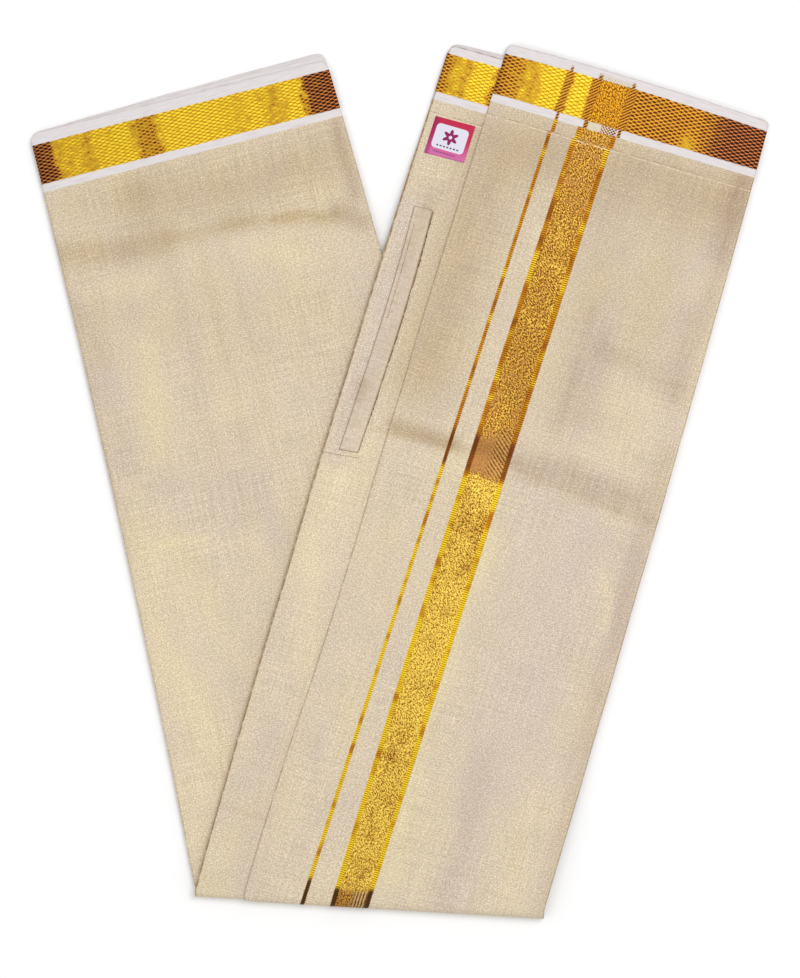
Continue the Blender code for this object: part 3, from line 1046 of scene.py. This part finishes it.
# painted shade: the brown of the band in its crease
CREASE_SHADE_BROWN = srgb(152, 106, 62)
STROKE_LIGHT = srgb(184, 138, 76)
STROKE_DARK = srgb(82, 44, 2)
LADDER_BRIGHT = srgb(241, 203, 36)
LADDER_GOLD = srgb(186, 120, 10)
LADDER_MAROON = srgb(92, 40, 10)
TURN_EDGE = srgb(54, 24, 12)
TURN_BODY = srgb(196, 154, 112)
TURN_BROWN = srgb(180, 124, 52)
BAND_SHINE = (
    (0, 0.05), (85, 0.04), (110, 0.20), (150, 0.24), (200, 0.14), (280, 0.06), (286, 0.0),
    (312, 0.0), (318, 0.74), (330, 0.56), (356, 0.46), (390, 0.62), (440, 0.78), (500, 0.74),
    (530, 0.62), (535, 0.40), (541, 0.64), (590, 0.66), (630, 0.62), (700, 0.60),
)


def band_parts(across):
    """Masks of the thin line, the whole band and its two ladder edges."""
    thin = across.within(-THIN_HALF, THIN_HALF, 0.35)
    whole = across.within(BAND[0], BAND[1], 0.35)
    body = across.within(BAND[0] + LADDER, BAND[1] - LADDER, 0.4)
    return thin, whole, whole * (1 - body)


def slanted(across, along):
    """Places along and beside the twill's strokes, which lie at a slant."""
    return across * 0.75 + along * 0.66, along * 0.75 - across * 0.66


def band_gold(finish, across, along, shine):
    """Colour of the band's body: a granular twill, brighter or duller with shine."""
    worms = finish.grain(*slanted(across, along), 1.6, 0.85, detail=1.0, seed=21.0)
    patches = finish.grain(across, along, 12, 18, seed=23.0)
    patches = patches + finish.grain(across, along, 3.5, 3.5, seed=25.0)
    level = shine + (patches - 1) * 1.1
    dull = finish.mix(worms.rising(0.42, 0.62), *BAND_DULL)
    dull = finish.mix(level.rising(0.20, -0.30) * 0.5, dull, BAND_PINK)
    lit = finish.mix(worms.rising(0.36, 0.60), *BAND_LIT)
    return finish.mix(level.rising(0.1, 0.9), dull, lit), worms


def ladder_gold(finish, across, along, shine):
    """Colour of the ladder edges and the thin line: dashes that lie across the line."""
    dashes = along.wave(TOOTH).rising(-0.5, 0.4)
    stretch = finish.grain(across, along, 12, 13, detail=1.0, seed=31.0)
    level = (shine + (stretch - 0.5) * 3.2).rising(0.0, 1.0)
    tone = finish.mix(level, LADDER_GOLD, LADDER_BRIGHT)
    tone = finish.mix((shine + (stretch - 0.5) * 3.2).rising(0.05, -0.6) * 0.6, tone, LADDER_MAROON)
    return finish.mix((1 - dashes) * (0.60 + stretch * 0.5 - shine * 0.3), tone, LADDER_MAROON), dashes


# %% [markdown]
# ## Putting the cloth's finish together
#
# One function makes the finish of every face layer, because all are the same cloth. What differs is the
# shine along the border, and whether the band is on it. Gold thread is a little metallic and glossy,
# cotton isn't.

# %% The cloth's finish
SEAM_AT = 53.0
CREASE_AT = 286.0, 314.0
WHITE_SHADE = srgb(206, 199, 199)
CROSS_DULL = srgb(104, 54, 4)
CROSS_LIT = srgb(218, 156, 36)
TWILL_DARK = srgb(74, 28, 2)
TWILL_LIGHT = srgb(208, 142, 44)
SAND = srgb(206, 190, 150)
# stretches of the front layer in mm from the thin line: low, high and how soft their borders are
CROSSING = (19, 48, 2.0)
TWILL_PARTS = ((-3.0, 3.0, 1.0), (16, 22.5, 1.4), (44.5, 51, 1.4))
SANDY_PART = (19.5, 33, 1.0)
DOTTED_PART = (33, 45, 0.6)
FRAYED_PART = (23, 46, 1.0)
LOOSE_PARTS = ((-0.9, 1.1, 0.5), (19.6, 22.8, 0.8), (46, 48.6, 0.6))
GLEAM = (92, 104, 8.0)
RIBS_START = (29, 35)


def white_edge(finish, across, along):
    threads = finish.grain(across, along, 12, 0.9, detail=1.0, seed=40.0)
    return finish.mix(threads.rising(0.3, 0.6), WHITE_SHADE, COTTON_WHITE)


def crossing_colours(finish, across, row, colour, in_gold, worms):
    """The band and thin line across the border: dark herringbone, fine gold, and loose threads."""
    fine = finish.mix(worms.rising(0.38, 0.62), CROSS_DULL, CROSS_LIT)
    colour = finish.mix(across.within(*CROSSING) * in_gold, colour, fine)
    herring = (across * 0.62 + row * 0.78 + worms).wave(1.9).rising(-0.15, 0.55)
    twill = finish.mix(herring, TWILL_DARK, TWILL_LIGHT)
    dark_parts = sum(across.within(*part) for part in TWILL_PARTS)
    colour = finish.mix(dark_parts * in_gold * 0.8, colour, twill)
    in_line = row.within(GOLD_END, INNER_WHITE, 0.4)
    sandy = across.within(*SANDY_PART) * in_line
    colour = finish.mix(sandy * (0.25 + worms.rising(0.3, 0.7) * 0.65), colour, SAND)
    dots = (across.wave(2.6) * row.wave(2.4) + (worms - 0.5) * 2.5).rising(-0.5, 0.1)
    colour = finish.mix(across.within(*DOTTED_PART) * in_line * dots, colour, twill)
    in_outer = 1 - row.rising(OUTER_WHITE - 0.3, OUTER_WHITE + 0.3)
    frayed = across.within(*FRAYED_PART) * in_outer * row.rising(2.0, 6.5)
    ragged = finish.mix(worms.rising(0.3, 0.5), TWILL_DARK, SAND)
    colour = finish.mix(frayed * dots * 0.9, colour, ragged)
    loose = sum(across.within(*part) for part in LOOSE_PARTS)
    loose = loose * (in_line + in_outer * row.rising(2.2, 6.0))
    return finish.mix(loose, colour, twill)


def cloth_finish(name, warm, first, last, stops, lines=False, seam=False, edge=0.1):
    """The cloth's finish: its tone, its shine along the border, and edge, how strongly its rim is painted
    brown: painted shade where the edge turns down, partly the brown of its threads.
    """
    finish = Finish(name)
    across, along = finish.cotton_map()
    if seam:
        across = across + (1 - along.rising(SEAM_AT - 0.6, SEAM_AT + 0.6)) * -1.6
    wobble = (finish.grain(across, along, 14, 14, seed=1.0) - 0.5) * 1.1
    row = along + wobble
    colour, height = tissue(finish, across, along, warm)

    sway = (finish.grain(across, along, 7, 9, detail=3.0, seed=42.0) - 0.5) * 15
    shine = zones(finish, across + sway, first, last, stops)
    spots = finish.grain(across, along, 5.5, 3.6, detail=2.0, seed=44.0) - 0.5
    shine = shine + spots * (shine * 0.75 + 0.15)
    if lines:
        shine = shine + across.within(*GLEAM) * row.rising(20, 36) * 0.3
    gold, floats = gold_border(finish, across, row, shine)
    in_white = row.rising(INNER_WHITE - 0.4, INNER_WHITE + 0.4)
    in_gold = row.within(OUTER_WHITE, GOLD_END, 0.35)
    colour = finish.mix(in_white, white_edge(finish, across, along), colour)
    colour = finish.mix(in_gold, colour, gold)
    zari = in_gold
    height = height * in_white + floats * in_gold

    if lines:
        thin, whole, ladders = band_parts(across + (along.wave(TOOTH) - 1) * 0.15)
        at_crease = along.within(*CREASE_AT, 4.0)
        past_crease = along.rising(CREASE_AT[1] - 2, CREASE_AT[1] + 3)
        turn = finish.stored("turn")
        band_shine = zones(finish, along, 0, 700, BAND_SHINE)
        body, worms = band_gold(finish, across, along, band_shine)
        edges, dashes = ladder_gold(finish, across, along, band_shine + past_crease * 0.08)
        # painted shade at the crease: the ladder edges go maroon there
        edges = finish.mix(at_crease * 0.85, edges, LADDER_MAROON)
        slant = (slanted(across, along)[1] + worms * 2.2).wave(2.4) + (worms - 0.5) * 2.2
        strokes = finish.mix(slant.rising(-0.7, 0.3), STROKE_DARK, STROKE_LIGHT)
        stroked = along.within(CREASE_AT[0] - 10, CREASE_AT[1] + 1, 6.0)
        stroked = stroked * (across + worms * 6).rising(31, 37)
        # painted shade at the crease: the band's body goes brown there
        body = finish.mix(at_crease * 0.72, body, CREASE_SHADE_BROWN)
        body = finish.mix(stroked * 0.78, body, strokes)
        # at the turn the band is painted dark brown: painted shade where it bends down over the fold,
        # with its ribbed weave
        ribs = (across.wave(2.4) + (worms - 0.5) * 2).rising(-0.7, 0.7)
        ribbed = finish.mix(ribs, TURN_EDGE, TURN_BODY)
        mottled = finish.mix(worms.rising(0.34, 0.62), TURN_EDGE, TURN_BROWN)
        at_turn = (turn + (worms - 0.5) * 0.3).rising(0.52, 0.85)
        body = finish.mix(at_turn * 0.85, body, finish.mix(across.rising(*RIBS_START), mottled, ribbed))
        edge_turn = (turn + thin * 0.26 + (worms - 0.5) * 0.2).rising(0.48, 0.70)
        edges = finish.mix(edge_turn * 0.95, edges, TURN_EDGE)
        lines_here = (whole + thin) * in_white
        colour = finish.mix(lines_here, colour, finish.mix(ladders + thin, body, edges))
        colour = crossing_colours(finish, across, row, colour, in_gold, worms)
        zari = in_gold + lines_here
        grained = worms * 0.5 + dashes * 0.5
        height = finish.number_between(lines_here, height, grained)

    if seam:
        uneven = finish.grain(across, along, 5, 5, seed=50.0).rising(0.35, 0.6)
        # painted shade along the seam's fold, and a painted highlight on the ridge beside it
        seam_shade_line = along.within(SEAM_AT - 0.4, SEAM_AT + 0.4, 0.4)
        lit_line = along.within(SEAM_AT + 0.8, SEAM_AT + 1.8, 0.4)
        colour = finish.mix(seam_shade_line * uneven * 0.50, colour, THREAD_SHADE)
        colour = finish.mix(lit_line * uneven * 0.34, colour, FLECK)

    # the rim goes brown in uneven stretches: painted shade where the layer's edge turns down, partly the
    # brown of its gold threads
    frayed = finish.grain(across, along, 6, 6, seed=60.0).rising(0.3, 0.6)
    at_rim = finish.stored("rim").rising(0.60, 0.95) * (0.25 + frayed * 0.45)
    colour = finish.mix(at_rim * (edge + in_white * 0.3) * (1 - zari), colour, EDGE_BROWN)

    return finish.surface({
        "Base Color": colour,
        "Roughness": finish.number_between(zari, 0.75, 0.45),
        "Metallic": zari * 0.4,
        "Normal": finish.raised(height, 0.3, 0.3),
        "Specular IOR Level": 0.08,
    })


LEFT_SHINE = (
    (0, 0.16), (12, 0.20), (17, 0.72), (36, 0.76), (41, 0.62), (46, 0.82), (60, 0.86), (68, 0.96),
    (73, 0.92), (79, 0.54), (93, 0.50), (99, 0.94), (140, 0.96), (152, 0.76), (160, 0.80),
    (168, 0.94), (180, 0.68), (191, 0.72), (197, 0.97), (203, 0.90), (210, 0.20), (235, 0.10),
)
WAIST_SHINE = (
    (0, 0.42), (4, 0.56), (11, 0.74), (17, 0.60), (22, 0.80), (27, 0.98), (36, 0.92), (40, 0.50),
    (46, 0.18),
)
FRONT_SHINE = (
    (-54, 0.20), (-48, 0.36), (-43, 0.47), (-36, 0.52), (-30, 0.68), (-24, 0.60), (-17, 0.80),
    (-8, 0.97), (-3, 0.92), (0, 0.45), (3, 0.96), (15, 0.92), (18, 0.42), (52, 0.38), (90, 0.36),
    (99, 0.40), (107, 0.33), (118, 0.20), (134, 0.04), (170, 0.0),
)
left_finish = cloth_finish("tissue_left", 0.50, 0, 235, LEFT_SHINE)
waist_finish = cloth_finish("tissue_waist", 0.50, 0, 60, WAIST_SHINE, seam=True, edge=0.9)
front_finish = cloth_finish("tissue_front", 0.46, -60, 180, FRONT_SHINE, lines=True, seam=True, edge=0.3)
left_cloth.data.materials.append(left_finish)
waist_cloth.data.materials.append(waist_finish)
front_cloth.data.materials.append(front_finish)
for leaf_cloth in leaves:
    leaf_cloth.data.materials.append(left_finish)
print("three cloth finishes")

# %% [markdown]
# ## Welt and label finishes
#
# The welt is cut from plainer, pinker cloth. The label is satin: a crimson frame that fades to pink,
# round a white panel with rounded corners, with a small flower and two dashed rules woven on it.

# %% Welt and label
WELT_COLOUR = srgb(204, 186, 163)
CRIMSON = srgb(184, 26, 68)
PINK = srgb(200, 100, 156)
PANEL = srgb(212, 210, 222)
ROSE = srgb(132, 14, 82)
INK = srgb(52, 34, 92)
# the label's parts in mm, from its middle
PANEL_UP = 0.6
PANEL_HALF = (12.4, 9.4)
PANEL_CORNER = 3.0
FLOWER_UP = 1.5
FLOWER_EYE = 1.3
PETALS = 6
PETAL_REACH = 4.6
PETAL_DEPTH = 1.5
SATIN_RIB = 0.9


def welt_finish():
    finish = Finish("welt_cotton")
    across, along = finish.cotton_map()
    colour, height = tissue(finish, across, along, 0.32, light=0.98)
    # painted shade of small wrinkles: darker bands at random
    wrinkle_shade = finish.grain(across, along, 9, 3.5, detail=2.0, seed=70.0)
    colour = finish.mix(wrinkle_shade.rising(0.55, 0.30) * 0.30, colour, THREAD_SHADE)
    colour = finish.mix(0.3, colour, WELT_COLOUR)
    # the welt's turned edge goes brown: painted shade where it folds under, partly the brown of its
    # threads
    turned_edge = finish.stored("rim").rising(0.35, 0.95)
    return finish.surface({
        "Base Color": finish.mix(turned_edge * 0.5, colour, EDGE_BROWN),
        "Roughness": 0.8,
        "Normal": finish.raised(height, 0.3, 0.3),
    })


def rounded_window(right, down, half_wide, half_high, radius):
    """1 inside a rounded rectangle about the origin, in mm."""
    past_side = (right.maths("ABSOLUTE") - (half_wide - radius)).maths("MAXIMUM", 0.0)
    past_end = (down.maths("ABSOLUTE") - (half_high - radius)).maths("MAXIMUM", 0.0)
    distance = (past_side * past_side + past_end * past_end).maths("SQRT")
    return distance.rising(radius + 0.25, radius - 0.25)


def label_finish():
    """Satin in a crimson frame, and a white panel with a small flower and two dashed rules."""
    finish = Finish("label_satin_weave")
    across, along = finish.cotton_map()
    right, down = across - LABEL_CENTRE[0], along - LABEL_CENTRE[1]
    frame_colour = finish.mix(down.rising(-4, 15), CRIMSON, PINK)
    frame_colour = finish.mix(right.rising(-10.5, -14) * 0.6, frame_colour, ROSE)
    panel = rounded_window(right, down + PANEL_UP, *PANEL_HALF, PANEL_CORNER)
    colour = finish.mix(panel, frame_colour, PANEL)
    below = down + FLOWER_UP
    turn = right.maths("ARCTAN2", below)
    reach = (right * right + below * below).maths("SQRT")
    petals = (turn * PETALS).maths("COSINE") * PETAL_DEPTH + PETAL_REACH
    flower = (petals - reach).rising(-0.25, 0.25) * (reach - FLOWER_EYE).rising(-0.2, 0.2)
    colour = finish.mix(flower, colour, ROSE)
    rule = right.within(-9, 9, 0.3) * (down - 6.3).within(-0.6, 0.6, 0.2)
    colour = finish.mix(rule * right.wave(2.6).rising(-0.6, 0.0) * 0.9, colour, INK)
    lower_rule = right.within(-10, 8, 0.3) * (down - 11.2).within(-0.6, 0.6, 0.2)
    colour = finish.mix(lower_rule * right.wave(1.7).rising(-0.5, 0.2) * 0.8, colour, INK)
    return finish.surface({
        "Base Color": colour,
        "Roughness": 0.42,
        "Normal": finish.raised(down.wave(SATIN_RIB), 0.2, 0.2),
        "Specular IOR Level": 0.2,
    })


places = [loop.uv / MM for loop in label.data.uv_layers["Weave"].data]
LABEL_CENTRE = [(min(line) + max(line)) / 2 for line in zip(*places)]
print("the label's middle is", [round(value) for value in LABEL_CENTRE], "mm across and along")
welt.data.materials.append(welt_finish())
label.data.materials.append(label_finish())

# %% [markdown]
# ## Stitches
#
# The welt is sewn down on both sides of the pocket's mouth. Each stitch is a short piece of thread, a
# small ball drawn out along the seam, which swells in the middle and dips into the cloth at its ends. The
# mouth itself is a dark slot beside the welt: a thin dark strip that paints the shadow in the gap.

# %% Sew the stitches
STITCH_RADIUS = 0.42 * MM
WELT_LEFT, WELT_RIGHT = WELT_ACROSS
WELT_LOW, WELT_HIGH = WELT_ALONG


def beside_welt(across, along, side, height):
    """A point near the welt, which swings out with it: side is in metres, to the right."""
    swing = WELT_BOW * bowed((along - WELT_LOW) / (WELT_HIGH - WELT_LOW))
    return lay(on_waist_strip(across) + (side + swing) / STRIP_WIDTH, 1 + along, SEWN_FACE + height)


def thread_finish(name, shade, light):
    """Thread or cloth in two tones, mottled."""
    finish = Finish(name)
    place = finish.add("TexCoord", output=3)
    mottle = finish.add("TexNoise", None, {"Vector": place, "Scale": 320.0, "Detail": 1.0})
    colour = finish.mix(mottle.rising(0.35, 0.62), shade, light)
    return finish.surface({"Base Color": colour, "Roughness": 0.7})


def seam_along(across, low=WELT_LOW, high=WELT_HIGH):
    """A seam beside the welt, in short runs, so that it bends with it."""
    return [(across, along) for along in evenly(low, high, 0.02)]


def stitched(name, paths, pitch, share, shade, light):
    """Running stitches along paths of (across, along) points on the waist layer."""
    bm = bmesh.new()
    for path, lift in paths:
        points = [beside_welt(across, along, 0.0, lift) for across, along in path]
        for start, end in zip(points, points[1:]):
            run = end - start
            count = max(1, round(run.length / pitch))
            for number in range(count):
                middle = start + run * (number + 0.5) / count
                way = run.normalized()
                side = way.cross(Vector((0, 0, 1))).normalized()
                made = bmesh.ops.create_icosphere(bm, subdivisions=1, radius=STITCH_RADIUS)["verts"]
                wander = 0.12 * MM * noise.noise(middle / (3 * MM))
                for vert in made:
                    off = vert.co.x * (pitch * share / 2 / STITCH_RADIUS)
                    vert.co = middle + way * off + side * (vert.co.y + wander) + Vector((0, 0, vert.co.z))
    bmesh.ops.reverse_faces(bm, faces=bm.faces)  # laying them along the seam has mirrored them
    for face in bm.faces:
        face.smooth = True
    piece = as_object(name, bm)
    piece.data.materials.append(thread_finish(name + "_finish", shade, light))
    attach(piece, "root")
    print(name, "has", len(piece.data.polygons), "faces")


ON_CLOTH = -0.02 * MM
ON_WELT = 0.78 * MM
stitched("pale_stitches", [
    (seam_along(WELT_RIGHT + 0.07), ON_CLOTH),
    (seam_along(WELT_LEFT - 0.045), ON_CLOTH),
], pitch=2.5 * MM, share=0.62, shade=srgb(214, 202, 184), light=srgb(246, 238, 222))
stitched("brown_stitches", [
    (seam_along(WELT_LEFT + 0.085, WELT_HIGH - 0.13, WELT_HIGH - 0.02), ON_WELT),
    ([(0.02, WELT_LOW - 0.006), (WELT_RIGHT + 0.05, WELT_LOW - 0.006)], ON_CLOTH),
], pitch=1.9 * MM, share=0.9, shade=srgb(148, 120, 90), light=srgb(188, 162, 130))


def pocket_mouth():
    """A thin dark strip along the welt's right side, uneven in width: painted shadow in the pocket's
    mouth.
    """
    steps = 250
    bm = bmesh.new()
    bmesh.ops.create_grid(bm, x_segments=1, y_segments=steps, size=0.5)
    for vert in bm.verts:
        share = 0.5 - vert.co.y
        along = WELT_HIGH - 0.001 + (WELT_LOW - WELT_HIGH + 0.004) * share
        ragged = 0.9 * noise.noise(Vector((share * 16, 3, 0)))
        ragged += 0.7 * noise.noise(Vector((share * 90, 5, 0)))
        gape = max(0.8 - 0.6 * share + 0.8 * ragged, 0.15) * MM
        if vert.co.x < 0:
            vert.co = beside_welt(WELT_RIGHT - 0.012, along, 0.0, 0.10 * MM)
        else:
            vert.co = beside_welt(WELT_RIGHT, along, gape, 0.06 * MM)
    bmesh.ops.solidify(bm, geom=bm.faces, thickness=0.05 * MM)
    bmesh.ops.recalc_face_normals(bm, faces=bm.faces)
    piece = as_object("pocket_mouth", bm)
    piece.data.materials.append(thread_finish("shaded_cloth", srgb(84, 60, 38), srgb(142, 114, 82)))
    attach(piece, "root")
    print("the pocket's mouth has", len(piece.data.polygons), "faces")


pocket_mouth()

# %% [markdown]
# ## Floor, light and camera
#
# The cloth lies on a plain white floor and is seen from straight above. A large soft light from the upper
# right lays a faint shadow along the left edges of the layers, and an even white sky fills the rest.

# %% The set
PICTURE_HEIGHT = 733.5 * MM
LENS = 100
SENSOR = 36
CAMERA_SPOT = (0.2 * MM, -5.9 * MM)
FLOOR_HALF = 3.0
FLOOR_WHITE = (0.9, 0.9, 0.9, 1)
SKY_STRENGTH = 0.72


def floor():
    bm = bmesh.new()
    bmesh.ops.create_grid(bm, x_segments=1, y_segments=1, size=FLOOR_HALF)
    plane = as_object("floor", bm)
    finish = Finish("floor_white")
    plane.data.materials.append(finish.surface({"Base Color": FLOOR_WHITE, "Roughness": 0.9}))


def soft_light(name, place, size, power, aim=(0, 0, 0)):
    data = bpy.data.lights.new(name, "AREA")
    data.shape = "DISK"
    data.size = size
    data.energy = power
    lamp = placed(name, data)
    lamp.location = place
    lamp.rotation_euler = (Vector(aim) - Vector(place)).to_track_quat("-Z", "Y").to_euler()


floor()
soft_light("key_light", (0.9, 0.9, 2.4), 1.4, 30)
soft_light("fill_light", (-1.2, -1.2, 2.4), 2.0, 12)
world = bpy.data.worlds.new("white_sky")
world.use_nodes = True
sky = world.node_tree.nodes["Background"].inputs
sky["Color"].default_value = (1, 1, 1, 1)
sky["Strength"].default_value = SKY_STRENGTH
bpy.context.scene.world = world
bpy.context.scene.view_settings.view_transform = "Standard"

eye = bpy.data.cameras.new("camera")
eye.lens = LENS
eye.sensor_width = SENSOR
camera = placed("camera", eye)
camera.location = (*CAMERA_SPOT, PICTURE_HEIGHT * LENS / SENSOR + 2 * MM)
bpy.context.scene.camera = camera
print("the camera is", round(camera.location.z, 2), "m up")
